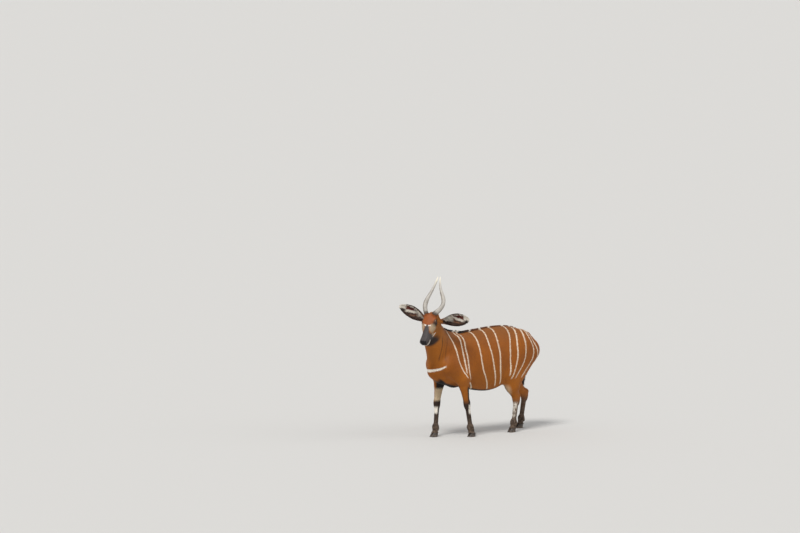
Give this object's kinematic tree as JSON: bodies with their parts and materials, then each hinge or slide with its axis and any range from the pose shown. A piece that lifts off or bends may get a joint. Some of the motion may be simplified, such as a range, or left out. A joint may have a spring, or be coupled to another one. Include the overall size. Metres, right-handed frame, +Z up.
{
  "type": "bongo antelope",
  "caption": "Life-size bongo antelope standing still with its head turned, twisted horns, large fringed ears, a striped flank form and cloven hooves.",
  "frame": {"origin": "middle of the whole model's bounding box, at floor height, where the hooves stand", "axes": "+Z up, the trunk runs along X with the chest towards -X and the rump towards +X, the animal's left side is towards -Y, and the head is turned about 23 degrees towards -Y"},
  "size_m": [1.847, 0.7422, 1.7646],
  "materials": {
    "coat": "matte",
    "horn": "satin",
    "hoof": "matte",
    "eye": "gloss"
  },
  "bodies": {
    "root": {"head": "coat", "neck": "coat", "torso": "coat", "tail": "coat", "ear_left": "coat", "ear_right": "coat", "horn_left": "horn", "horn_right": "horn", "eye_left": "eye", "eye_right": "eye", "leg_fore_left": "coat", "leg_fore_right": "coat", "leg_hind_left": "coat", "leg_hind_right": "coat", "hoof_fore_left_inner": "hoof", "hoof_fore_left_outer": "hoof", "hoof_fore_right_inner": "hoof", "hoof_fore_right_outer": "hoof", "hoof_hind_left_inner": "hoof", "hoof_hind_left_outer": "hoof", "hoof_hind_right_inner": "hoof", "hoof_hind_right_outer": "hoof"}
  },
  "joints": []
}
